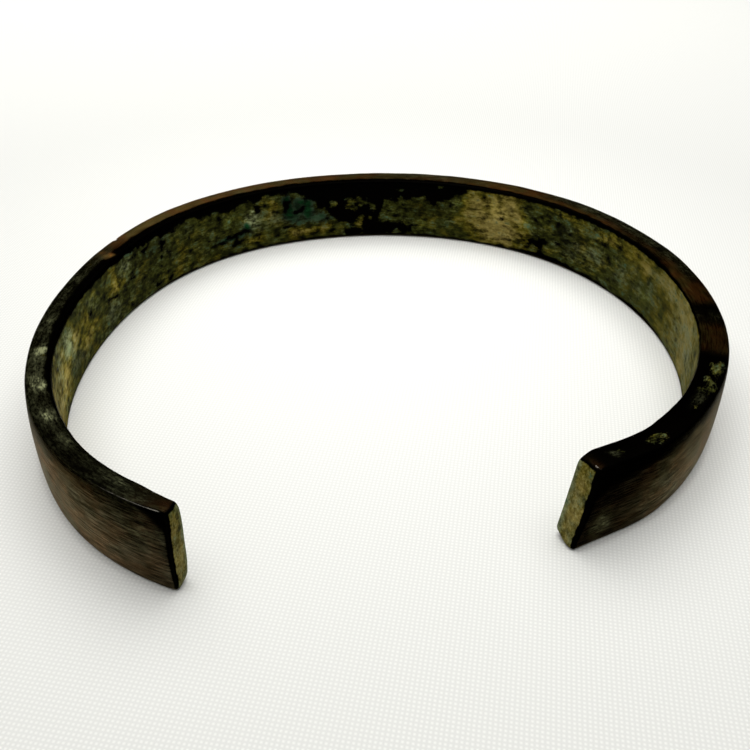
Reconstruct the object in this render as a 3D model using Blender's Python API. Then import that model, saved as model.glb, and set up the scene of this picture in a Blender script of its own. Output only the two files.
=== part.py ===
"""An open cuff bracelet: one flat metal bar, bent by hand into a C that lies on its edge.

The bar is forged straight along X with a slanting cut at each end, and then bent round the outline of its
outer face. The gap between the tips faces -Y, +Z is along the arm of whoever wears it, and the lower edge
of the bar lies on Z = 0. Sizes are in metres, and angles in degrees from +X as seen from above.
"""

import math

import bmesh
import bpy
from mathutils import Vector

# Outline of the outer face: a round that hand bending left a little oval, egg-shaped and square
MEAN_RADIUS = 0.0326
OVAL_BEND, OVAL_BEND_AT = 0.00143, 35.5
EGG_BEND, EGG_BEND_AT = 0.00056, -13
SQUARE_BEND, SQUARE_BEND_AT = 0.00038, 42

# The bar: its height on edge, its thickness, which is uneven round the ring, and its bulging outer face
BAR_HEIGHT = 0.0076
MEAN_THICKNESS = 0.00269
UNEVEN_THICKNESS, THICKEST_AT = 0.0005, 56
OUTER_CROWN = 0.0002
CROWN_STEPS = 4

# Near its ends the bar is a little higher, hammered thinner at the left one and curled in at the right one
TIP_RISE, RISE_REACH = 0.0004, 0.016
LEFT_TIP_THINNING, THINNING_REACH = 0.0003, 0.016
RIGHT_TIP_CURL, CURL_REACH = 0.00065, 0.009

# How far wear has rounded the four long corners of the bar
OUTER_TOP_ROUND = 0.0003
INNER_TOP_ROUND = 0.0005
INNER_BOTTOM_ROUND = 0.0007
OUTER_BOTTOM_ROUND = 0.0004
SHARPEST_ROUND = 0.00015
CORNER_STEPS = 3

# The cut ends: skew makes the inner side of an end the shorter one, and slant its upper side
LEFT_TIP_AT, LEFT_TIP_SKEW, LEFT_TIP_SLANT, LEFT_TIP_ROUND = 234.5, 3.5, 0, 0.00045
RIGHT_TIP_AT, RIGHT_TIP_SKEW, RIGHT_TIP_SLANT, RIGHT_TIP_ROUND = -69.5, 5, 9.6, 0.0006
TIP_ROUND_STEPS = 3

BENDING_STEPS = 84
SMOOTH_UNDER = 40


def outline_place(angle):
    """Point of the outline at an angle in radians, and the way out of the bar there."""
    radius, change = MEAN_RADIUS, 0.0
    bends = (
        (2, OVAL_BEND, OVAL_BEND_AT),
        (3, EGG_BEND, EGG_BEND_AT),
        (4, SQUARE_BEND, SQUARE_BEND_AT),
    )
    for lobes, amount, at in bends:
        phase = lobes * (angle - math.radians(at))
        radius += amount * math.cos(phase)
        change -= amount * lobes * math.sin(phase)
    radial = Vector((math.cos(angle), math.sin(angle), 0))
    around = Vector((-math.sin(angle), math.cos(angle), 0))
    return radial * radius, (radial * radius - around * change).normalized()


def corner(depth, height, inward, upward, radius):
    """Points of a rounded corner, from the sharp one, with the directions from it into the metal."""
    start = math.atan2(-upward, -inward) - math.pi / 4
    turns = [start + math.pi / 2 * step / CORNER_STEPS for step in range(CORNER_STEPS + 1)]
    centre = Vector((depth + inward * radius, height + upward * radius))
    return [centre + Vector((math.cos(turn), math.sin(turn))) * radius for turn in turns]


def bar_section(inset):
    """Section of the straight bar, made smaller by an inset, as points of depth and height."""
    inner, top, bottom = MEAN_THICKNESS - inset, BAR_HEIGHT - inset, inset
    section = corner(inner, bottom, -1, 1, max(INNER_BOTTOM_ROUND - inset, SHARPEST_ROUND))
    section += corner(inner, top, -1, -1, max(INNER_TOP_ROUND - inset, SHARPEST_ROUND))
    section += corner(inset, top, 1, -1, max(OUTER_TOP_ROUND - inset, SHARPEST_ROUND))
    lower_corner = corner(inset, bottom, 1, 1, max(OUTER_BOTTOM_ROUND - inset, SHARPEST_ROUND))
    flat_from, flat_to = section[-1], lower_corner[0]
    for step in range(1, CROWN_STEPS):
        share = step / CROWN_STEPS
        bulge = Vector((-OUTER_CROWN * (1 - (2 * share - 1) ** 2), 0))
        section.append(flat_from.lerp(flat_to, share) + bulge)
    return section + lower_corner


def slices():
    """Where the bar is sliced: share of its length, setback from the right and left cut, and inset."""
    turns = [math.pi / 2 * step / TIP_ROUND_STEPS for step in range(TIP_ROUND_STEPS)]
    for turn in turns:
        yield 0, RIGHT_TIP_ROUND * (1 - math.cos(turn)), 0, RIGHT_TIP_ROUND * (1 - math.sin(turn))
    for step in range(BENDING_STEPS + 1):
        yield step / BENDING_STEPS, RIGHT_TIP_ROUND, LEFT_TIP_ROUND, 0
    for turn in reversed(turns):
        yield 1, 0, LEFT_TIP_ROUND * (1 - math.cos(turn)), LEFT_TIP_ROUND * (1 - math.sin(turn))


def forge_straight_bar(metal, right_tip, left_tip):
    """Skins the bar along X from one slanting cut to the other."""
    rings = []
    for share, right_setback, left_setback, inset in slices():
        ring = []
        for depth, height in bar_section(inset):
            drop = BAR_HEIGHT - height
            right = right_tip + right_setback
            right += depth * math.tan(math.radians(RIGHT_TIP_SKEW)) - drop * math.tan(math.radians(RIGHT_TIP_SLANT))
            left = left_tip - left_setback
            left -= depth * math.tan(math.radians(LEFT_TIP_SKEW)) - drop * math.tan(math.radians(LEFT_TIP_SLANT))
            ring.append(metal.verts.new((right + (left - right) * share, depth, height)))
        rings.append(ring)
    for ring, following in zip(rings, rings[1:]):
        for here, there in zip(range(len(ring)), list(range(1, len(ring))) + [0]):
            metal.faces.new((ring[here], ring[there], following[there], following[here]))
    metal.faces.new(rings[0])
    metal.faces.new(rings[-1])


def nearness(distance, reach):
    """Rises smoothly from 0 to 1 over the reach before a tip."""
    share = max(0.0, 1 - distance / reach)
    return share * share * (3 - 2 * share)


def bend_bar(metal, right_tip, left_tip):
    """Shapes the straight bar's ends and bends it round the outline, so that X becomes the angle."""
    for vertex in metal.verts:
        along, depth, height = vertex.co
        angle = along / MEAN_RADIUS
        to_left, to_right = left_tip - along, along - right_tip
        place, outward = outline_place(angle)
        place -= outward * RIGHT_TIP_CURL * nearness(to_right, CURL_REACH)
        thickness = MEAN_THICKNESS + UNEVEN_THICKNESS * math.cos(angle - math.radians(THICKEST_AT))
        thickness -= LEFT_TIP_THINNING * nearness(to_left, THINNING_REACH)
        height *= 1 + TIP_RISE * nearness(min(to_left, to_right), RISE_REACH) / BAR_HEIGHT
        vertex.co = place - outward * depth * thickness / MEAN_THICKNESS + Vector((0, 0, height))


def stand_on_origin(metal):
    """Moves the bent bar so that the origin is below the middle of its box."""
    for axis in (0, 1):
        places = [vertex.co[axis] for vertex in metal.verts]
        middle = (min(places) + max(places)) / 2
        for vertex in metal.verts:
            vertex.co[axis] -= middle


def patinated_metal():
    material = bpy.data.materials.new("patinated_metal")
    material.use_nodes = True
    shader = material.node_tree.nodes["Principled BSDF"]
    shader.inputs["Base Color"].default_value = (0.075, 0.058, 0.032, 1)
    shader.inputs["Metallic"].default_value = 0.8
    shader.inputs["Roughness"].default_value = 0.42
    return material


def make_cuff():
    metal = bmesh.new()
    right_tip = math.radians(RIGHT_TIP_AT) * MEAN_RADIUS
    left_tip = math.radians(LEFT_TIP_AT) * MEAN_RADIUS
    forge_straight_bar(metal, right_tip, left_tip)
    bend_bar(metal, right_tip, left_tip)
    stand_on_origin(metal)
    bmesh.ops.recalc_face_normals(metal, faces=metal.faces)
    mesh = bpy.data.meshes.new("cuff")
    metal.to_mesh(mesh)
    metal.free()
    mesh.shade_smooth()
    mesh.set_sharp_from_angle(angle=math.radians(SMOOTH_UNDER))
    mesh.materials.append(patinated_metal())
    bpy.context.scene.collection.objects.link(bpy.data.objects.new("cuff", mesh))


for item in list(bpy.data.objects):
    bpy.data.objects.remove(item)
make_cuff()
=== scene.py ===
import math

import bmesh
import bpy
import numpy as np
from mathutils import Matrix, Vector, noise


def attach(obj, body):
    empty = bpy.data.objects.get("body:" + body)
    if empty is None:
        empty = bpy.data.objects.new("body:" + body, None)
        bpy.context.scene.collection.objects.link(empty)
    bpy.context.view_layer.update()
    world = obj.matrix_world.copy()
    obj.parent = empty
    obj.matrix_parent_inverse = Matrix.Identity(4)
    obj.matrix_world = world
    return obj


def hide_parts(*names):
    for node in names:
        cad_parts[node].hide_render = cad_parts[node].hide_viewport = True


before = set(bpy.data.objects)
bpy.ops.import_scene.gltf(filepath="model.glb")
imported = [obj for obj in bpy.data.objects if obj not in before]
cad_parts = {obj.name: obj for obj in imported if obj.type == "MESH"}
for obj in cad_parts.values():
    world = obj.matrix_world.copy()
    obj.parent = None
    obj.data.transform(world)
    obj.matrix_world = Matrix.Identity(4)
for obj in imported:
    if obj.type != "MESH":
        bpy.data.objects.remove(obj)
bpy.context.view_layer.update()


# Parts of the skin's darkness are painted shade, and a bright glint is painted along its worn edges.
# The bracelet
# An open cuff: one flat bar of copper alloy, forged, cut at both ends and bent cold round the wrist.
# Its skin is brown to black, worn through along the edges, with an olive and tan crust on the inner face.
# It is made straight along X (Y is depth from the outer face, Z is height) and then bent to the outline.

RING_RADIUS = 0.0326
RING_MIDDLE = (-0.000297, -0.001890)
OUTLINE_LOBES = ((2, 0.00143, 35.5), (3, 0.00056, -13), (4, 0.00038, 42))
BAR_THICKNESS, BAR_HEIGHT, BAR_CROWN = 0.00269, 0.0076, 0.0002
UNEVEN_THICKNESS, THICKEST_AT = 0.0005, 56
TIP_RISE, TIP_RISE_REACH = 0.0004, 0.016
LEFT_THINNING, LEFT_THINNING_REACH = 0.0003, 0.016
RIGHT_CURL, RIGHT_CURL_REACH = 0.00065, 0.009
RIGHT_END = {"at": math.radians(-69.5) * RING_RADIUS, "skew": 5, "slant": 9.6}
LEFT_END = {"at": math.radians(234.5) * RING_RADIUS, "skew": 3.5, "slant": 0}
EDGE_ROUND, EDGE_STEPS = 0.00035, 2
CUTS_ALONG, CUTS_UP, CUTS_DEEP = 171, 6, 1
SUBDIVISIONS = 2
MM = 1000


def span(edge, axis):
    """How far an edge reaches along an axis."""
    return abs(edge.verts[0].co[axis] - edge.verts[1].co[axis])


def setback(end, depth, drop):
    """How far a slanting end is set back, at a depth from the outer face and a drop from the upper edge."""
    return depth * math.tan(math.radians(end["skew"])) - drop * math.tan(math.radians(end["slant"]))


def forge_bar():
    """The straight bar: a bevelled block, cut finely enough to bend, with its ends sheared to their slant."""
    bar = bmesh.new()
    length = LEFT_END["at"] - RIGHT_END["at"]
    block = bmesh.ops.create_cube(bar, size=1)["verts"]
    bmesh.ops.scale(bar, vec=(length, BAR_THICKNESS, BAR_HEIGHT), verts=block)
    middle = (RIGHT_END["at"] + length / 2, BAR_THICKNESS / 2, BAR_HEIGHT / 2)
    bmesh.ops.translate(bar, vec=middle, verts=block)
    bmesh.ops.bevel(bar, geom=bar.edges[:], offset=EDGE_ROUND, affect="EDGES", segments=EDGE_STEPS,
                    profile=0.5, material=-1)
    for axis, cuts, shortest in (
        (0, CUTS_ALONG, BAR_THICKNESS / 2),
        (2, CUTS_UP, BAR_HEIGHT / 2),
        (1, CUTS_DEEP, BAR_THICKNESS / 2),
    ):
        crossed = [edge for edge in bar.edges if span(edge, axis) > shortest]
        bmesh.ops.subdivide_edges(bar, edges=crossed, cuts=cuts, use_grid_fill=True)
    for vertex in bar.verts:
        share = (vertex.co.x - RIGHT_END["at"]) / length
        drop = BAR_HEIGHT - vertex.co.z
        for end, weight in ((RIGHT_END, 1 - share), (LEFT_END, -share)):
            vertex.co.x += weight * setback(end, vertex.co.y, drop)
    return bar


def finished_mesh(name, shape, levels):
    """The mesh of a bmesh after subdivision, with smooth faces."""
    bmesh.ops.recalc_face_normals(shape, faces=shape.faces)
    cage = bpy.data.meshes.new(name)
    shape.to_mesh(cage)
    shape.free()
    holder = bpy.data.objects.new(name, cage)
    bpy.context.scene.collection.objects.link(holder)
    rounding = holder.modifiers.new("rounding", "SUBSURF")
    rounding.levels = rounding.render_levels = levels
    mesh = bpy.data.meshes.new_from_object(holder.evaluated_get(bpy.context.evaluated_depsgraph_get()))
    bpy.data.objects.remove(holder)
    bpy.data.meshes.remove(cage)
    mesh.name = name
    mesh.shade_smooth()
    return mesh


def rows(points, what):
    """The places or the directions of a mesh's points, one row for each."""
    values = np.empty(len(points) * 3)
    points.foreach_get(what, values)
    return values.reshape(-1, 3)


def step(value, low, high):
    """Rises smoothly from 0 at the low value to 1 at the high one."""
    share = np.clip((value - low) / (high - low), 0, 1)
    return share * share * (3 - 2 * share)


def rough(points, size, seed, layers=3):
    """Smooth unevenness of about -1 to 1, with bumps of a given size in millimetres."""
    shift = Vector((seed * 17.3, seed * 5.1, -seed * 9.7))
    return np.array([noise.fractal(Vector(point) / size + shift, 1.0, 2.0, layers) for point in points])


# The straight bar in millimetres, the angle round the ring that each point goes to, and its face and end
FACE_FROM, FACE_TO, END_FROM = 0.3, 0.8, 0.4

mesh = finished_mesh("bracelet", forge_bar(), SUBDIVISIONS)
bar = rows(mesh.vertices, "co") * MM
facing = rows(mesh.vertex_normals, "vector")
angle = np.degrees(bar[:, 0] / MM / RING_RADIUS)
depth, height = bar[:, 1], bar[:, 2]
drop = BAR_HEIGHT * MM - height
from_right = bar[:, 0] - RIGHT_END["at"] * MM - setback(RIGHT_END, depth, drop)
from_left = LEFT_END["at"] * MM - bar[:, 0] - setback(LEFT_END, depth, drop)
on_inner, on_outer = step(facing[:, 1], FACE_FROM, FACE_TO), step(-facing[:, 1], FACE_FROM, FACE_TO)
on_top, on_bottom = step(facing[:, 2], FACE_FROM, FACE_TO), step(-facing[:, 2], FACE_FROM, FACE_TO)
on_end = step(abs(facing[:, 0]), END_FROM, FACE_TO)

# How far the edges of spots and bands wander, in degrees along the bar and in millimetres across it
WANDER_ALONG, WANDER_ACROSS = 1.1, 0.4
BEND_ALONG, BEND_ACROSS = 1.7, 1.4

drift_along = WANDER_ALONG * rough(bar, BEND_ALONG, seed=4)
drift_across = WANDER_ACROSS * rough(bar, BEND_ACROSS, seed=5)


def patches(across, places):
    """Soft ragged spots: angle, place across the bar, half width, half height and strength of each."""
    total = np.zeros(len(bar))
    for at, level, wide, high, strength in places:
        aside, above = (angle + drift_along - at) / wide, (across + drift_across - level) / high
        total += strength * np.exp(-aside ** 2 - above ** 2)
    return total


def along(pairs):
    """A value that changes with the angle, given at some angles in falling order."""
    angles, values = zip(*reversed(pairs))
    return np.interp(angle, angles, values)


# Where the inner face's crust ends: under its bare upper band, above the lower edge, short of the rim
CRUST_TOP = (
    (215, 7.8), (185, 7.7), (175, 7.5), (165, 7.2), (158, 7.0), (153, 6.8), (145, 6.6), (140, 6.2),
    (135, 6.5), (130, 6.8), (124, 6.3), (117, 6.2), (114, 7.0), (112, 6.4), (108, 7.0), (103, 7.0),
    (101, 6.2), (98, 5.8), (95, 4.6), (92.5, 3.2), (90, 2.4), (89, 0.4), (82, 0.4), (81, 3.0),
    (79.5, 5.0), (75, 5.4), (70, 5.3), (67.5, 4.5), (65, 5.5), (61, 6.6), (57, 7.4), (50, 7.9), (-5, 8),
)
CRUST_BOTTOM = (
    (215, 0.1), (150, 0.15), (140, 0.35), (125, 0.3), (100, 0.35), (60, 0.35), (47, 0.4), (40, 0.9),
    (33, 0.6), (20, 0.3), (12, 0.6), (4, 0.5), (-5, 0.2),
)
CRUST_LIMIT = (
    (215, 7.3), (190, 7.2), (170, 7.0), (150, 6.9), (130, 7.1), (60, 7.15), (20, 7.1), (-5, 7.2),
)
TOP_SOFTNESS, BOTTOM_SOFTNESS, LIMIT_SOFTNESS = 0.4, 0.25, 0.12

# Gaps worn into the crust, islands left above it, and specks on the upper edge
BARE_PATCHES = (
    (158.5, 3.35, 3.2, 0.16, 1.1), (150, 3.7, 4, 0.16, 0.7), (145.5, 5.8, 0.9, 0.7, 0.8),
    (143, 5.3, 0.6, 0.5, 0.6), (139.5, 5.8, 0.8, 0.8, 0.8), (139.7, 3.95, 0.6, 0.35, 1.2),
    (134, 3.5, 1.8, 0.14, 0.7), (142, 1.0, 1.5, 0.3, 0.8), (138, 0.9, 1.0, 0.3, 0.9),
    (122.5, 2.3, 2, 0.28, 1.2), (119, 2.6, 2, 0.3, 1.2), (115.8, 2.95, 1.4, 0.28, 1.2),
    (118, 1.5, 1.8, 0.35, 0.9), (111.4, 5.5, 1.2, 0.55, 1.3), (104, 4.6, 0.3, 1.2, 0.6),
    (101.7, 4.0, 1.2, 0.4, 0.9), (100, 4.5, 0.5, 0.6, 0.8), (104.3, 5.2, 0.5, 0.5, 0.7),
    (99.6, 5.6, 0.5, 0.3, 0.6), (103, 2.35, 3, 0.18, 0.9), (91, 3.4, 1.0, 1.2, 0.5),
    (75, 1.5, 0.8, 0.7, 1.2), (79, 1.2, 3.2, 0.8, 1.6), (72.8, 1.2, 1.2, 0.4, 0.9),
    (40, 2.1, 1.2, 0.9, 1.1), (42.6, 1.6, 1.6, 0.6, 0.7), (37.7, 6.1, 0.8, 0.3, 0.5),
    (21.7, 3.8, 1.0, 0.4, 0.4),
)
CRUST_ISLANDS = (
    (92, 4.5, 0.8, 0.7, 1.5), (88.4, 4.7, 1.3, 0.6, 0.9), (86, 5.3, 1.4, 0.45, 1.4),
    (84, 4.8, 1.2, 0.45, 1.1), (82.6, 3.9, 1.1, 0.5, 1.2), (86.5, 3.9, 1.0, 0.4, 0.6),
    (88.7, 1.3, 0.9, 0.5, 1.3), (85.6, 1.9, 1.2, 0.8, 1.5), (83.2, 2.7, 0.7, 0.4, 0.7),
    (90.5, 1.5, 1.0, 0.6, 0.6), (66, 7.1, 1.4, 0.3, 1.1), (131, 7.0, 1.0, 0.3, 0.5),
    (76, 6.4, 1.5, 0.4, 0.4),
)
TOP_SPECKS = (
    (-32.5, 0.9, 1.9, 0.6, 1.0), (-36.4, 1.2, 1.2, 0.5, 0.7), (-39, 0.9, 1.5, 0.5, 0.8),
    (-44, 1.0, 1.6, 0.35, 0.3), (-56.5, 1.0, 1.9, 0.55, 0.9), (-64, 1.1, 1.0, 0.6, 0.38),
    (190, 1.4, 1.2, 0.7, 0.4), (159, 0.9, 0.7, 0.4, 0.5),
)

# The cut ends are crusted too, apart from a bare line along their outer and upper rims
END_CRUST, END_BARE_DEPTH, END_BARE_ABOVE = 1.4, 0.3, 7.3

crust = on_inner * step(along(CRUST_TOP) - height + drift_across, -TOP_SOFTNESS, TOP_SOFTNESS)
crust *= step(height - along(CRUST_BOTTOM), -BOTTOM_SOFTNESS, BOTTOM_SOFTNESS)
crust += on_inner * (patches(height, CRUST_ISLANDS) - patches(height, BARE_PATCHES))
crust *= step(along(CRUST_LIMIT) - height, -LIMIT_SOFTNESS, LIMIT_SOFTNESS)
crust += on_top * patches(depth, TOP_SPECKS)
end_crust = END_CRUST * on_end * step(depth, END_BARE_DEPTH, END_BARE_DEPTH + 0.2)
crust += end_crust * step(END_BARE_ABOVE - height, 0, 0.2)

# The colours of the crust, as patches on an olive ground: tan, pale sage, green, dark and light
TAN_PATCHES = (
    (200, 4, 14, 5, 0.8), (186, 3.2, 7, 1.6, 0.25), (177, 5.0, 3.5, 1.2, 0.3), (171, 3.2, 6, 1.8, 0.4),
    (157, 4.8, 2.0, 1.1, 0.5), (132, 2.6, 5, 1.1, 0.25), (112.5, 1.8, 3, 0.8, 0.5),
    (107.5, 5.5, 1.3, 1.1, 0.5), (100, 1.4, 5, 0.7, 0.55), (94.5, 1.8, 1.6, 0.8, 0.5),
    (85.5, 1.8, 1.3, 0.8, 0.6), (58, 5, 3.5, 2.2, 0.45), (51.5, 4.8, 5.5, 3.2, 0.9),
    (50, 2.0, 6, 1.4, 0.75), (36, 6.9, 6, 0.6, 0.4), (24, 6.2, 8, 0.9, 0.4), (10, 5.9, 9, 1.5, 0.45),
    (0, 6.0, 7, 1.6, 0.35), (25, 2.8, 5, 1.6, 0.2), (12, 2.6, 7, 1.3, 0.2), (-12, 4, 9, 5, 0.55),
    (-45, 4, 30, 9, 0.5),
)
PALE_PATCHES = (
    (200, 4, 14, 6, 0.4), (187, 5.6, 3.5, 1.6, 0.4), (180.5, 5.0, 4, 1.8, 0.65),
    (178, 1.8, 5, 0.8, 0.35), (167, 5.7, 3, 1.0, 0.5), (158, 2.0, 5, 1.1, 0.45),
    (152.6, 5.5, 2.6, 0.9, 0.5), (113, 4.2, 2.4, 1.5, 0.8), (107, 3.7, 2.8, 1.3, 0.45),
    (97.5, 3.9, 1.6, 1.2, 0.3), (95, 3.0, 1.6, 0.6, 0.3), (61.5, 4.4, 1.6, 1.3, 0.2),
    (44.5, 4.8, 3.5, 1.6, 0.12), (33, 3.4, 6, 2.0, 0.18), (25, 3.2, 5, 1.8, 0.3),
    (13, 3.0, 8, 1.4, 0.22), (-12, 3.5, 10, 4, 0.5), (-45, 4, 30, 9, 0.4), (2, 5.9, 8, 1.2, 0.3),
)
GREEN_PATCHES = (
    (103.6, 5.6, 1.1, 1.2, 1.1), (103.2, 4.0, 0.9, 0.9, 0.6), (99.3, 5.3, 1.7, 0.8, 0.9),
    (98.7, 4.1, 1.1, 1.0, 0.8), (101.4, 3.2, 1.8, 0.6, 0.6), (101.3, 5.0, 0.9, 1.1, 0.75),
    (96.6, 3.6, 1.8, 1.1, 0.45), (94, 2.8, 1.8, 0.7, 0.4), (114.4, 3.4, 1.1, 0.5, 1.1),
    (119, 2.5, 4, 0.4, 0.8), (142, 5.8, 4, 0.7, 0.1),
)
DARK_PATCHES = (
    (178, 1.6, 7, 0.7, 0.4), (147, 2.0, 6, 1.5, 0.35), (143, 5.2, 7, 1.4, 0.45), (130, 4.8, 6, 1.4, 0.2),
    (71, 4.2, 7, 1.8, 0.6), (66, 2.6, 2.5, 1.6, 0.2), (41.3, 4.4, 0.6, 1.2, 0.6),
    (35.4, 5.0, 1.2, 1.1, 0.75), (33, 3.4, 3.5, 2.0, 0.6), (140, 6.2, 2, 0.7, 0.4),
    (21.7, 3.8, 1.1, 0.5, 0.5), (18, 3.2, 1.0, 0.9, 0.3), (133.5, 2.4, 3, 0.8, 0.4),
    (104.5, 4.8, 2.5, 1.6, 0.5), (0, 4.0, 3.0, 0.7, 0.7), (8.5, 3.6, 1.2, 0.5, 0.4),
    (6, 1.4, 4, 0.5, 0.4), (13.5, 2.4, 1.0, 0.5, 0.4), (55.3, 3.4, 0.6, 0.5, 0.4),
    (46, 3.6, 0.6, 0.5, 0.3), (-4, 2.2, 1.5, 0.8, 0.3),
)
LIGHT_PATCHES = (
    (181, 5.0, 5, 2.0, 0.68), (188, 3, 5, 2.5, 0.4), (171, 3.2, 5, 1.6, 0.35), (167, 5.6, 3, 1.2, 0.5),
    (153, 5.4, 2.5, 0.9, 0.45), (157, 4.8, 2, 1, 0.45), (120, 4.6, 2.5, 1.1, 0.5),
    (113, 4.3, 2.2, 1.3, 0.8), (112, 1.6, 2, 0.6, 0.5), (70, 1.8, 2, 0.8, 0.5), (61.5, 5, 2, 1.3, 0.5),
    (52, 4.8, 4, 1.8, 0.35), (44.3, 4.2, 2, 1.5, 0.42), (40.5, 5.0, 1.2, 1, 0.3),
    (15, 6.0, 4, 1.0, 0.15), (-8, 5, 4, 1.5, 0.08), (8, 2.8, 2.5, 0.9, 0.5), (104, 1.5, 5, 0.7, 0.2),
)
SPECK_TAN, SPECK_PALE, SPECK_DARK = 0.12, 0.08, 0.42
END_LEVELS = (0, 1.5, 3, 4.5, 6, 7.5)
END_TAN = (0.4, 0.6, 0.75, 0.45, 0.5, 0.3)
END_PALE = (0.55, 0.45, 0.3, 0.5, 0.15, 0.25)
END_INNER_PALE, END_DARK = 0.6, 0.25

tan = on_inner * patches(height, TAN_PATCHES) + on_top * SPECK_TAN
tan += on_end * np.interp(height, END_LEVELS, END_TAN)
pale = on_inner * patches(height, PALE_PATCHES) + on_top * SPECK_PALE
pale += on_end * (np.interp(height, END_LEVELS, END_PALE) + END_INNER_PALE * step(depth, 1.7, 2.5))
green = on_inner * patches(height, GREEN_PATCHES)
dark = on_inner * patches(height, DARK_PATCHES) + on_top * SPECK_DARK
dark += on_end * END_DARK * (1 - step(from_left, 1, 3))
light = on_inner * patches(height, LIGHT_PATCHES)

# Where the crust is calm and closed: at the right, on the cut ends, a little at the left, and in two patches
CALM_PATCHES = ((54, 4.5, 7, 3, 0.5), (181, 4.5, 8, 3, 0.25))
CALM_LEFT, CALM_END, CLOSING = 0.3, 0.2, 0.4

even = step(26 - angle, 0, 18) + CALM_LEFT * step(angle, 150, 175) + patches(height, CALM_PATCHES)
even = on_inner * even + CALM_END * on_end
crust += CLOSING * crust * even

# The bare skin of the upper edge: its brown, its grey-green bloom, and a black strip of painted shade along
# its rounded inner side
WARM_TOP = (
    (234, 0.22), (230, 0.14), (226, 0.03), (162, 0.05), (152, 0.3), (147, 0.68), (135, 0.98),
    (115, 0.68), (100, 0.62), (85, 0.43), (70, 0.32), (55, 0.54), (38, 0.5), (28, 0.4), (15, 0.2),
    (5, 0.2), (-5, 0.38), (-9, 0.3), (-12, 0.03), (-17, 0.08), (-19, 0.27), (-26, 0.24), (-29, 0.0),
    (-67, 0.0), (-69.5, 0.22),
)
GREY_TOP = (
    (234, 0.06), (230, 0.09), (224, 0.11), (217, 0.08), (212, 0.1), (202, 0.13), (184, 0.17),
    (170, 0.14), (158, 0.15), (148, 0.12), (130, 0.06), (115, 0.14), (100, 0.1), (85, 0.1), (75, 0.15),
    (66, 0.17), (50, 0.04), (28, 0.08), (16, 0.08), (10, 0.04), (0, 0.0), (-10, 0.0), (-15, 0.08),
    (-20, 0), (-70, 0),
)
GREY_SPOTS = (
    (226, 1.7, 2.4, 0.5, 0.12), (206.5, 1.5, 1.6, 0.55, 0.42), (198.5, 1.4, 1.6, 0.55, 1.05),
    (189.5, 1.4, 1.5, 0.55, 0.8), (213, 1.6, 1.5, 0.5, 0.15), (194, 1.0, 2.0, 0.5, 0.12),
    (180, 1.2, 1.0, 0.4, 0.2), (-64.5, 1.1, 0.8, 0.5, 0.25), (-42, 1.2, 2.5, 0.5, 0.15),
)
COPPER_SPOTS = ((155.6, 1.75, 0.9, 0.35, 1.9), (154.4, 0.8, 0.5, 0.4, 0.5), (4, 1.7, 9, 0.4, 0.15))
# Where the strip of painted shade on the rounded inner corner begins, in millimetres from the outer face
SHADE_STRIP_FROM = (
    (214, 2.9), (205, 2.25), (190, 1.85), (165, 1.65), (150, 1.6), (125, 1.75), (100, 1.8), (70, 2.0),
    (40, 2.2), (10, 2.3), (-5, 2.5), (-25, 3.0),
)
SHADE_STRIP_DARKNESS = 0.96
DULL_BROWN, DULL_GREY = 0.7, 0.1

outside_shade_strip = 1 - SHADE_STRIP_DARKNESS * step(depth + 0.3 * drift_across - along(SHADE_STRIP_FROM), -0.12, 0.15)
dull = on_top * step(48 - angle, 0, 12) * step(angle, -8, 2) * step(1.5 - depth, -0.6, 0.5)
warm = on_top * along(WARM_TOP) * outside_shade_strip * (1 - DULL_BROWN * dull)
warm += on_top * patches(depth, COPPER_SPOTS)
grey = on_top * outside_shade_strip * (along(GREY_TOP) + patches(depth, GREY_SPOTS)) + DULL_GREY * dull

# The bare skin of the outer face, clouded round the back, and of the lower edge
# Its brown is partly painted shade: darker upwards, where the face reflects the dim room, and towards both
# tips
OUTER_BROWN_AND_SHADE = (
    (234, 0.38), (231, 0.45), (228, 0.5), (222, 0.83), (214, 1.35), (206, 1.5), (192, 1.0), (-22, 0.95),
    (-38, 1.25), (-48, 0.95), (-56, 0.5), (-61, 0.3), (-66, 0.2), (-70, 0.17),
)
SHADE_UPWARDS_LEVELS, SHADE_UPWARDS = (2, 4, 6, 6.9, 7.3), (1, 0.66, 0.48, 0.25, 0.1)
CLOUDS, CLOUD_SIZE = 0.45, 6.0
OUTER_BLOOM = (
    (229.5, 4.8, 2.5, 1.2, 0.1), (-67, 1.8, 1.8, 1.6, 0.3), (-61, 2.0, 4, 1.6, 0.05),
    (-56, 3, 3, 2, 0.1), (-46, 3, 6, 3, 0.13),
)
OUTER_GREY, LOWER_BROWN, LOWER_GREY = 0.1, 0.4, 0.2

clouded = 1 + CLOUDS * rough(bar, CLOUD_SIZE, seed=6) * step(angle, -40, -20) * step(205 - angle, 0, 15)
warm += on_outer * along(OUTER_BROWN_AND_SHADE) * np.interp(height, SHADE_UPWARDS_LEVELS, SHADE_UPWARDS) * clouded
warm += on_bottom * LOWER_BROWN
grey += on_outer * (OUTER_GREY * step(angle, -66, -52) + patches(height, OUTER_BLOOM))
grey += on_bottom * LOWER_GREY

# Black on the outer face: black skin at the left tip's upper corner and along both ends, and painted shade
# above a line at the right
PAINTED_SHADE_ABOVE = (
    (0, 7.4), (-45, 7.0), (-55, 6.4), (-62, 6.1), (-66, 5.6), (-69, 4.8),
)
BLACK_CORNER, CORNER_SLOPE = 3.4, 1.3
LEFT_BLACK_LINE, RIGHT_BLACK_LINE, BLACK_LINE_GROWS = 0.38, 0.4, 0.09
BLACK_HIDES_BROWN, BLACK_HIDES_GREY = 0.97, 0.9

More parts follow.
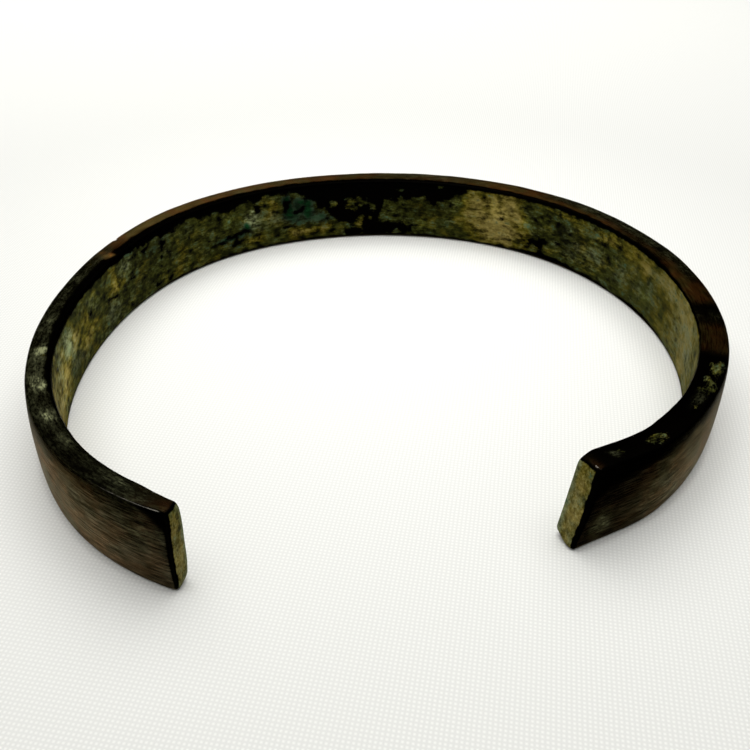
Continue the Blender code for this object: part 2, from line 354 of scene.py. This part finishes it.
black_skin_and_shade = step(BLACK_CORNER - from_left - CORNER_SLOPE * drop + 0.4 * drift_across, 0, 1.3)
black_skin_and_shade += (angle < 0) * step(height + 0.3 * drift_across - along(PAINTED_SHADE_ABOVE), -0.35, 0.35)
black_skin_and_shade += step(LEFT_BLACK_LINE + 0.2 * drift_across - from_left, 0, 0.2)
black_skin_and_shade += step(RIGHT_BLACK_LINE + BLACK_LINE_GROWS * height + 0.3 * drift_across - from_right, 0, 0.25)
black_skin_and_shade = on_outer * np.clip(black_skin_and_shade, 0, 1)
warm *= 1 - BLACK_HIDES_BROWN * black_skin_and_shade
grey *= 1 - BLACK_HIDES_GREY * black_skin_and_shade

# Bright metal and a painted glint, where the outer upper corner and the rim of the right tip are worn through
EDGE_WEAR_AND_GLINT = (
    (234, 0.95), (225, 0.9), (219, 0.55), (214, 0.2), (205, 0), (150, 0.1), (100, 0), (-66, 0),
    (-69, 0.5),
)
WEAR_GLINT_DEPTH, WEAR_GLINT_HEIGHT, WEAR_GLINT_RIM = 0.06, 7.5, 0.15

worn_and_glint = along(EDGE_WEAR_AND_GLINT) * np.exp(-((depth - WEAR_GLINT_DEPTH) / 0.09) ** 2 - ((height - WEAR_GLINT_HEIGHT) / 0.12) ** 2)
rim_wear_and_glint = 0.5 * np.exp(-((from_right - WEAR_GLINT_RIM) / 0.12) ** 2)
worn_and_glint += rim_wear_and_glint * step(height, 7.2, 7.5) * step(1.6 - depth, 0, 0.6)

# Relief on all but the lower edge: hammer marks, lumps in the crust, pits in the cut ends, and the nick
HAMMERED, HAMMER_MARKS, KEPT_INSIDE = 0.05, 7.0, 0.06
CRUST_DEPTH, CRUST_RELIEF, CRUST_LUMPS = 0.03, 0.02, 0.9
END_RELIEF, END_PITS, END_SUNK = 0.05, 0.7, 0.6
NICK_AT, NICK_HALF_WIDTH, NICK_REACH, NICK_DEPTH = 148.2, 0.4, 0.4, 0.22

away_from_rim = step(depth, 0.2, 0.8) * step(2.6 - depth, 0, 0.5)
away_from_rim *= step(height, 0.2, 0.8) * step(7.5 - height, 0, 0.6)
relief = HAMMERED * rough(bar, HAMMER_MARKS, seed=1) - KEPT_INSIDE
relief -= CRUST_DEPTH * on_inner * (1 - np.clip(crust, 0, 1))
relief += CRUST_RELIEF * on_inner * rough(bar, CRUST_LUMPS, seed=2)
relief += END_RELIEF * on_end * away_from_rim * (rough(bar, END_PITS, seed=3) - END_SUNK)
relief *= 1 - on_bottom
nick = np.exp(-((angle - NICK_AT) / NICK_HALF_WIDTH) ** 2 - (depth / NICK_REACH) ** 2)
relief -= NICK_DEPTH * nick * step(height, 6.6, 7.6)
straight = bar + facing * relief[:, None]

# The ends are worn rounder than the rest: along their rims, and at the inner corners of both
OUTER_RIM, UPPER_RIM, LOWER_RIM, RIM_REACH = 0.3, 0.25, 0.2, 1.2
LEFT_INNER_ROUND, RIGHT_TOP_SUNK, RIGHT_BOTTOM_RAISED = 0.6, 0.3, 0.45

rim = OUTER_RIM * np.clip(1 - depth / 0.8, 0, 1) ** 2 + UPPER_RIM * np.clip((height - 6.7) / 0.9, 0, 1) ** 2
rim += LOWER_RIM * np.clip(1 - height / 0.8, 0, 1) ** 2
straight[:, 0] += rim * step(RIM_REACH - from_right, 0, RIM_REACH)
straight[:, 0] -= rim * step(RIM_REACH - from_left, 0, RIM_REACH)
level = 2 * height / (BAR_HEIGHT * MM) - 1
straight[:, 1] -= LEFT_INNER_ROUND * level ** 4 * step(depth, 0.6, 2.4) * step(4 - from_left, 0, 4)
top_corner = step(1.6 - from_right, 0, 1.6) * step(depth, 1.2, 2.7) * step(height, 5.8, 7.6)
bottom_corner = step(2 - from_right, 0, 2) * step(depth, 1.0, 2.7) * step(2 - height, 0, 2)
straight[:, 2] -= RIGHT_TOP_SUNK * top_corner
straight[:, 2] += RIGHT_BOTTOM_RAISED * bottom_corner


def bent(points):
    """Bends points of the straight bar, in millimetres, round the outline and into metres."""
    x, y, z = (points / MM).T
    turn = x / RING_RADIUS
    radius, change = np.full_like(x, RING_RADIUS), np.zeros_like(x)
    for lobes, amount, at in OUTLINE_LOBES:
        phase = lobes * (turn - math.radians(at))
        radius += amount * np.cos(phase)
        change -= amount * lobes * np.sin(phase)
    cosine, sine = np.cos(turn), np.sin(turn)
    outward = np.stack((cosine * radius + sine * change, sine * radius - cosine * change), axis=1)
    outward /= np.linalg.norm(outward, axis=1)[:, None]
    to_left, to_right = LEFT_END["at"] - x, x - RIGHT_END["at"]
    thickness = BAR_THICKNESS + UNEVEN_THICKNESS * np.cos(turn - math.radians(THICKEST_AT))
    thickness -= LEFT_THINNING * step(1 - to_left / LEFT_THINNING_REACH, 0, 1)
    inward = y * thickness / BAR_THICKNESS + RIGHT_CURL * step(1 - to_right / RIGHT_CURL_REACH, 0, 1)
    inward -= BAR_CROWN * (1 - (2 * z / BAR_HEIGHT - 1) ** 2) * np.clip(1 - y / BAR_THICKNESS, 0, 1)
    rise = TIP_RISE * step(1 - np.minimum(to_left, to_right) / TIP_RISE_REACH, 0, 1)
    ring = np.stack((cosine, sine), axis=1) * radius[:, None] - outward * inward[:, None] + RING_MIDDLE
    return np.column_stack((ring, z * (1 + rise / BAR_HEIGHT)))


mesh.vertices.foreach_set("co", bent(straight).ravel())
mesh.update()


def keep_places(mesh, name, places):
    """Stores a place for each of the mesh's points, for its material to read."""
    layer = mesh.attributes.new(name, "FLOAT_VECTOR", "POINT")
    layer.data.foreach_set("vector", places.ravel())


def keep_shares(mesh, name, *shares):
    """Stores three shares for each of the mesh's points as a colour, for its material to read."""
    layer = mesh.attributes.new(name, "FLOAT_COLOR", "POINT")
    columns = [np.clip(share, 0, 1) for share in shares] + [np.ones(len(mesh.vertices))]
    layer.data.foreach_set("color", np.column_stack(columns).ravel())


# Crust and brown go above 1, so half of each is stored. The stains also carry the worn edges with their
# painted glint
keep_places(mesh, "bar", bar)
keep_shares(mesh, "patina", crust * 0.5, tan, pale)
keep_shares(mesh, "stain_and_glint", green, dark, worn_and_glint)
keep_shares(mesh, "skin", warm * 0.5, grey, on_top)
keep_shares(mesh, "evenness", even, on_outer, light)


def add(tree, kind, links=None, **settings):
    """A shader node, with values or other nodes' outputs given for its inputs."""
    made = tree.nodes.new("ShaderNode" + kind)
    for name, value in settings.items():
        setattr(made, name, value)
    for socket, value in (links or {}).items():
        if isinstance(value, bpy.types.NodeSocket):
            tree.links.new(value, made.inputs[socket])
        else:
            made.inputs[socket].default_value = value
    return made


def read(tree, name):
    """The red, green and blue parts of an attribute."""
    layer = add(tree, "Attribute", attribute_name=name)
    return add(tree, "SeparateColor", {0: layer.outputs["Color"]}).outputs


def mottle(tree, where, stretch, scale, detail=4, roughness=0.6):
    """Noise on the bar's own millimetres, drawn out along some of its directions."""
    drawn = add(tree, "Mapping", {"Vector": where, "Scale": stretch}).outputs[0]
    grain = {"Vector": drawn, "Scale": scale, "Detail": detail, "Roughness": roughness}
    return add(tree, "TexNoise", grain).outputs[0]


def maths(tree, operation, *values, clamp=False):
    """One operation on values or other nodes' outputs."""
    made = add(tree, "Math", dict(enumerate(values)), operation=operation)
    made.use_clamp = clamp
    return made.outputs[0]


def product(tree, first, *others):
    """Several values multiplied with each other."""
    for other in others:
        first = maths(tree, "MULTIPLY", first, other)
    return first


def ramp(tree, value, low, high, to_low=0.0, to_high=1.0):
    """Goes smoothly from one value to another while the input goes from low to high."""
    limits = {0: value, 1: low, 2: high, 3: to_low, 4: to_high}
    return add(tree, "MapRange", limits, interpolation_type="SMOOTHSTEP").outputs[0]


def swing(tree, pattern, least, most):
    """A noise pattern as a factor between two values. Nearly all of a noise lies between 0.3 and 0.7."""
    return ramp(tree, pattern, 0.3, 0.7, least, most)


def stirred(tree, value, *patterns):
    """A value pushed up and down by noise patterns, each given with its amount."""
    for pattern, amount in patterns:
        value = maths(tree, "MULTIPLY_ADD", maths(tree, "SUBTRACT", pattern, 0.5), amount, value)
    return value


def blend(tree, share, first, second, mode="MIX"):
    """A share of the second colour over the first."""
    made = add(tree, "Mix", {0: share, 6: first, 7: second}, data_type="RGBA", blend_type=mode)
    return made.outputs[2]


def as_grey(tree, value):
    """A value as a grey colour."""
    return add(tree, "CombineColor", {0: value, 1: value, 2: value}).outputs[0]


# The material's colours, the height where the inner face's crust ends, and how rough and bumpy it all is
OLIVE, GOLDEN, TAN = (0.034, 0.037, 0.006, 1), (0.085, 0.07, 0.005, 1), (0.23, 0.18, 0.048, 1)
SAGE, TEAL, DEEP_GREEN = (0.125, 0.14, 0.07, 1), (0.026, 0.046, 0.024, 1), (0.003, 0.019, 0.0055, 1)
SKIN_BLACK, SKIN_GREY = (0.0006, 0.0005, 0.0004, 1), (0.2, 0.21, 0.105, 1)
TOP_COPPER, TOP_GOLD = (0.125, 0.052, 0.016, 1), (0.086, 0.06, 0.019, 1)
# The bright worn metal colour also paints a glint on the worn edges
BRIGHT_COPPER, WORN_METAL_GLINT = (0.34, 0.12, 0.02, 1), (0.6, 0.56, 0.48, 1)
SIDE_RUSSET, SIDE_UMBER = (0.235, 0.152, 0.086, 1), (0.18, 0.157, 0.1, 1)
WHITE = (1, 1, 1, 1)
CRUST_UP_TO = 7.22, 7.36
METAL_ROUGHNESS, CRUST_ROUGHER, WORN_SMOOTHER = (0.36, 0.5), 0.35, -0.2
SHEEN_LEVEL, SHEEN_TINT = 0.03, (0.42, 0.41, 0.37, 1)
BUMP_STRENGTH, BUMP_HEIGHT = 0.6, 0.00006

metal = bpy.data.materials.new("patinated_metal")
metal.use_nodes = True
tree = metal.node_tree
shader = tree.nodes["Principled BSDF"]
where = add(tree, "Attribute", attribute_name="bar").outputs["Vector"]
crust_at, tan_at, pale_at = read(tree, "patina")[:3]
green_at, dark_at, wear_and_glint_at = read(tree, "stain_and_glint")[:3]
warm_at, grey_at, top_at = read(tree, "skin")[:3]
even_at, outer_at, light_at = read(tree, "evenness")[:3]
level_at = add(tree, "SeparateXYZ", {0: where}).outputs["Z"]

speckle = mottle(tree, where, (0.6, 1.05, 1.05), 1.35, detail=5)
cloud = mottle(tree, where, (0.8, 1, 1), 0.5, detail=3, roughness=0.55)
patchy = mottle(tree, where, (0.6, 1, 1.1), 0.95)
fine = mottle(tree, where, (0.6, 1.1, 1.1), 4.2, roughness=0.7)
strokes = mottle(tree, where, (0.25, 3.0, 3.2), 2.3, detail=5, roughness=0.7)
grooves = mottle(tree, where, (0.11, 2.5, 2.7), 2.6, detail=3)
combed = mottle(tree, where, (0.3, 1.5, 1.5), 2.6, roughness=0.65)

# How much crust covers the skin, with a ragged edge, and none over the upper rim of the inner face
ragged = stirred(tree, crust_at, (speckle, 1.7), (cloud, 0.5), (fine, product(tree, top_at, 1.6)))
ragged = product(tree, ragged, ramp(tree, crust_at, 0.02, 0.14))
below_edge = maths(tree, "MAXIMUM", ramp(tree, level_at, *CRUST_UP_TO, 1.0, 0.0), top_at)
covered = product(tree, ramp(tree, ragged, 0.2, 0.3), below_edge)

# The crust's colour, from olive over golden to tan, then sage, teal and deep green
tan_amount = stirred(tree, tan_at, (cloud, 1.5), (speckle, 0.7), (combed, 0.7))
crust_colour = blend(tree, ramp(tree, tan_amount, 0.0, 0.5), OLIVE, GOLDEN)
crust_colour = blend(tree, ramp(tree, tan_amount, 0.3, 1.0), crust_colour, TAN)
pale_amount = stirred(tree, pale_at, (fine, 0.8), (patchy, 1.7), (combed, 0.8))
crust_colour = blend(tree, ramp(tree, pale_amount, 0.06, 1.15), crust_colour, SAGE)
green_amount = stirred(tree, green_at, (speckle, 1.7), (patchy, 0.9), (fine, 0.8))
crust_colour = blend(tree, ramp(tree, green_amount, 0.1, 0.5), crust_colour, TEAL)
crust_colour = blend(tree, ramp(tree, green_amount, 0.4, 1.0), crust_colour, DEEP_GREEN)

# The crust's mottling, weaker where it is calm. Its edge and its dark patches are darker, light ones lighter
shade = product(tree, swing(tree, speckle, 0.6, 1.4), swing(tree, fine, 0.66, 1.4))
shade = product(tree, shade, swing(tree, patchy, 0.75, 1.3), swing(tree, combed, 0.75, 1.3))
calmed = product(tree, even_at, 0.7)
shade = maths(tree, "MULTIPLY_ADD", maths(tree, "SUBTRACT", 1.0, shade), calmed, shade)
darkened = ramp(tree, stirred(tree, dark_at, (cloud, 0.7)), 0.1, 0.9, 1.0, 0.25)
shade = product(tree, shade, darkened, ramp(tree, ragged, 0.2, 0.65, 0.25, 1.0))
shade = product(tree, shade, ramp(tree, light_at, 0.0, 1.0, 1.0, 3.0))
crust_colour = blend(tree, 1.0, crust_colour, as_grey(tree, shade), "MULTIPLY")

# The bare skin, from black to brown: copper to gold on the upper edge, russet to umber on the outer face
brushed = product(tree, ramp(tree, strokes, 0.32, 0.68, 0.62, 1.44), swing(tree, speckle, 0.85, 1.15))
warm_amount = product(tree, warm_at, 2.0, brushed)
side_brown = blend(tree, ramp(tree, cloud, 0.3, 0.66), SIDE_RUSSET, SIDE_UMBER)
hue = maths(tree, "MULTIPLY_ADD", cloud, 0.6, product(tree, strokes, 0.4))
top_brown = blend(tree, ramp(tree, hue, 0.42, 0.58), TOP_COPPER, TOP_GOLD)
brown = blend(tree, top_at, side_brown, top_brown)
skin_colour = blend(tree, ramp(tree, warm_amount, 0.0, 1.3), SKIN_BLACK, brown)
brightest = product(tree, top_at, ramp(tree, warm_amount, 1.4, 2.4))
skin_colour = blend(tree, brightest, skin_colour, BRIGHT_COPPER)

# Grey-green bloom over the skin, and on the outer face the fine lines of brushing
bloomed = product(tree, ramp(tree, grey_at, 0.0, 1.0, 0.0, 0.62), ramp(tree, fine, 0.34, 0.7, 0.1, 2.6))
bloomed = product(tree, bloomed, swing(tree, combed, 0.25, 1.8))
in_patches = maths(tree, "MAXIMUM", ramp(tree, patchy, 0.36, 0.62, 0.25, 1.7), outer_at)
bloomed = maths(tree, "MULTIPLY", bloomed, in_patches, clamp=True)
skin_colour = blend(tree, bloomed, skin_colour, SKIN_GREY)
lines = maths(tree, "MULTIPLY_ADD", grooves, 0.5, product(tree, strokes, 0.5))
lines = product(tree, ramp(tree, lines, 0.41, 0.59, 0.6, 1.5), ramp(tree, grooves, 0.37, 0.44, 0.42, 1.0))
brushing = blend(tree, outer_at, WHITE, as_grey(tree, lines))
skin_colour = blend(tree, 1.0, skin_colour, brushing, "MULTIPLY")

# Worn-through metal along the edges, painted bright as a glint
worn_through_and_glint = ramp(tree, stirred(tree, wear_and_glint_at, (strokes, 0.8)), 0.45, 0.8)
colour = blend(tree, covered, skin_colour, crust_colour)
colour = blend(tree, worn_through_and_glint, colour, WORN_METAL_GLINT)
tree.links.new(colour, shader.inputs["Base Color"])

# Bare skin shines as metal, and crust and bloom are dull
bare = product(tree, maths(tree, "SUBTRACT", 1.0, covered), maths(tree, "SUBTRACT", 1.0, bloomed))
tree.links.new(maths(tree, "MAXIMUM", bare, worn_through_and_glint), shader.inputs["Metallic"])
roughness = swing(tree, strokes, *METAL_ROUGHNESS)
roughness = maths(tree, "MULTIPLY_ADD", covered, CRUST_ROUGHER, roughness)
roughness = maths(tree, "MULTIPLY_ADD", worn_through_and_glint, WORN_SMOOTHER, roughness, clamp=True)
tree.links.new(roughness, shader.inputs["Roughness"])
shader.inputs["Specular IOR Level"].default_value = SHEEN_LEVEL
shader.inputs["Specular Tint"].default_value = SHEEN_TINT

# The finest relief: grains on the crust and brushed lines on the skin
lined = maths(tree, "MULTIPLY_ADD", grooves, 0.9, strokes)
grainy = maths(tree, "MULTIPLY_ADD", speckle, 0.5, 0.2)
fine_relief = maths(tree, "MULTIPLY_ADD", fine, 0.35, maths(tree, "MULTIPLY_ADD", covered, grainy, lined))
bump = add(tree, "Bump", {"Height": fine_relief, "Strength": BUMP_STRENGTH, "Distance": BUMP_HEIGHT})
tree.links.new(bump.outputs[0], shader.inputs["Normal"])

mesh.materials.clear()
mesh.materials.append(metal)
bracelet = bpy.data.objects.new("bracelet", mesh)
bpy.context.scene.collection.objects.link(bracelet)
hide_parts("cuff")
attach(bracelet, "root")


# The floor
# A sheet of white satin-weave cloth, pulled flat under the bracelet. Its two sets of threads cross at a
# pitch of about a third of a millimetre, and the weave only just shows.

FLOOR_SIZE = 1.6
WEAVE_PITCH = 0.00033
THREAD_TURNS = (0.35, 1.92)
WAVES_PER_METRE = 0.314 / WEAVE_PITCH
THREAD_SHADE, THREAD_LIGHT = (0.68, 0.68, 0.645, 1), (0.8, 0.8, 0.76, 1)

cloth = bmesh.new()
bmesh.ops.create_grid(cloth, x_segments=1, y_segments=1, size=FLOOR_SIZE / 2)
cloth_mesh = bpy.data.meshes.new("floor")
cloth.to_mesh(cloth_mesh)
cloth.free()
satin = bpy.data.materials.new("white_satin")
satin.use_nodes = True
tree = satin.node_tree
shader = tree.nodes["Principled BSDF"]
place = add(tree, "TexCoord").outputs["Object"]
threads = []
for turned in THREAD_TURNS:
    laid = add(tree, "Mapping", {"Vector": place, "Rotation": (0, 0, turned)}).outputs[0]
    wave = {"Vector": laid, "Scale": WAVES_PER_METRE, "Distortion": 0.6, "Detail": 1.0}
    threads.append(add(tree, "TexWave", wave).outputs["Fac"])
weave = product(tree, *threads)
tree.links.new(blend(tree, weave, THREAD_SHADE, THREAD_LIGHT), shader.inputs["Base Color"])
shader.inputs["Roughness"].default_value = 0.7
shader.inputs["Specular IOR Level"].default_value = 0.1
cloth_mesh.materials.append(satin)
floor = bpy.data.objects.new("floor", cloth_mesh)
bpy.context.scene.collection.objects.link(floor)


# Light and camera
# A wide soft light hangs above and behind the bracelet in a dim room. A small lamp lifts the cloth behind
# it, and another the cloth inside the ring. The camera stands close, and looks down into the gap of the cuff.

ROOM_LIGHT, ROOM_SEEN = 0.24, 0.8
SOFTBOX_SIZE, SOFTBOX_POWER, SOFTBOX_PLACE = 1.2, 12.1, (0, 0.36, 0.8)
LAMPS = {
    "backdrop lamp": {"power": 1.6, "radius": 0.05, "cone": 60, "softness": 1.0, "place": (0, 0.2, 0.4)},
    "ring lamp": {"power": 3.2, "radius": 0.04, "cone": 11.4, "softness": 0.6,
                  "place": (0.002, 0.0125, 0.35)},
}

room = bpy.data.worlds.new("room")
room.use_nodes = True
tree = room.node_tree
dim = tree.nodes["Background"]
dim.inputs["Color"].default_value = WHITE
dim.inputs["Strength"].default_value = ROOM_LIGHT
bright = add(tree, "Background", {"Color": (1, 1, 0.98, 1), "Strength": ROOM_SEEN})
to_camera = add(tree, "LightPath").outputs["Is Camera Ray"]
seen = add(tree, "MixShader", {0: to_camera, 1: dim.outputs[0], 2: bright.outputs[0]})
tree.links.new(seen.outputs[0], tree.nodes["World Output"].inputs["Surface"])
bpy.context.scene.world = room
bpy.context.scene.view_settings.view_transform = "Standard"


def hang(light, place):
    """Hangs a light in the room, facing straight down."""
    hung = bpy.data.objects.new(light.name, light)
    hung.location = place
    bpy.context.scene.collection.objects.link(hung)


softbox = bpy.data.lights.new("softbox", "AREA")
softbox.shape = "SQUARE"
softbox.size = SOFTBOX_SIZE
softbox.energy = SOFTBOX_POWER
hang(softbox, SOFTBOX_PLACE)
for name, made in LAMPS.items():
    lamp = bpy.data.lights.new(name, "SPOT")
    lamp.energy = made["power"]
    lamp.shadow_soft_size = made["radius"]
    lamp.spot_size = math.radians(made["cone"])
    lamp.spot_blend = made["softness"]
    hang(lamp, made["place"])

CAMERA_PLACE = Vector((-0.01499, -0.07450, 0.04929))
LOOKING = Vector((0.15579, 0.80826, -0.56784)).normalized()
CAMERA_ROLL = math.radians(1.5)
FOCAL_LENGTH, SENSOR_WIDTH, NEAREST_SEEN = 41.637, 36, 0.001

lens = bpy.data.cameras.new("camera")
lens.sensor_width = SENSOR_WIDTH
lens.lens = FOCAL_LENGTH
lens.clip_start = NEAREST_SEEN
rightward = LOOKING.cross(Vector((0, 0, 1))).normalized()
rolled = Matrix.Rotation(CAMERA_ROLL, 3, -LOOKING)
axes = [rolled @ axis for axis in (rightward, rightward.cross(LOOKING), -LOOKING)]
camera = bpy.data.objects.new("camera", lens)
camera.matrix_world = Matrix.Translation(CAMERA_PLACE) @ Matrix(axes).transposed().to_4x4()
bpy.context.scene.collection.objects.link(camera)
bpy.context.scene.camera = camera
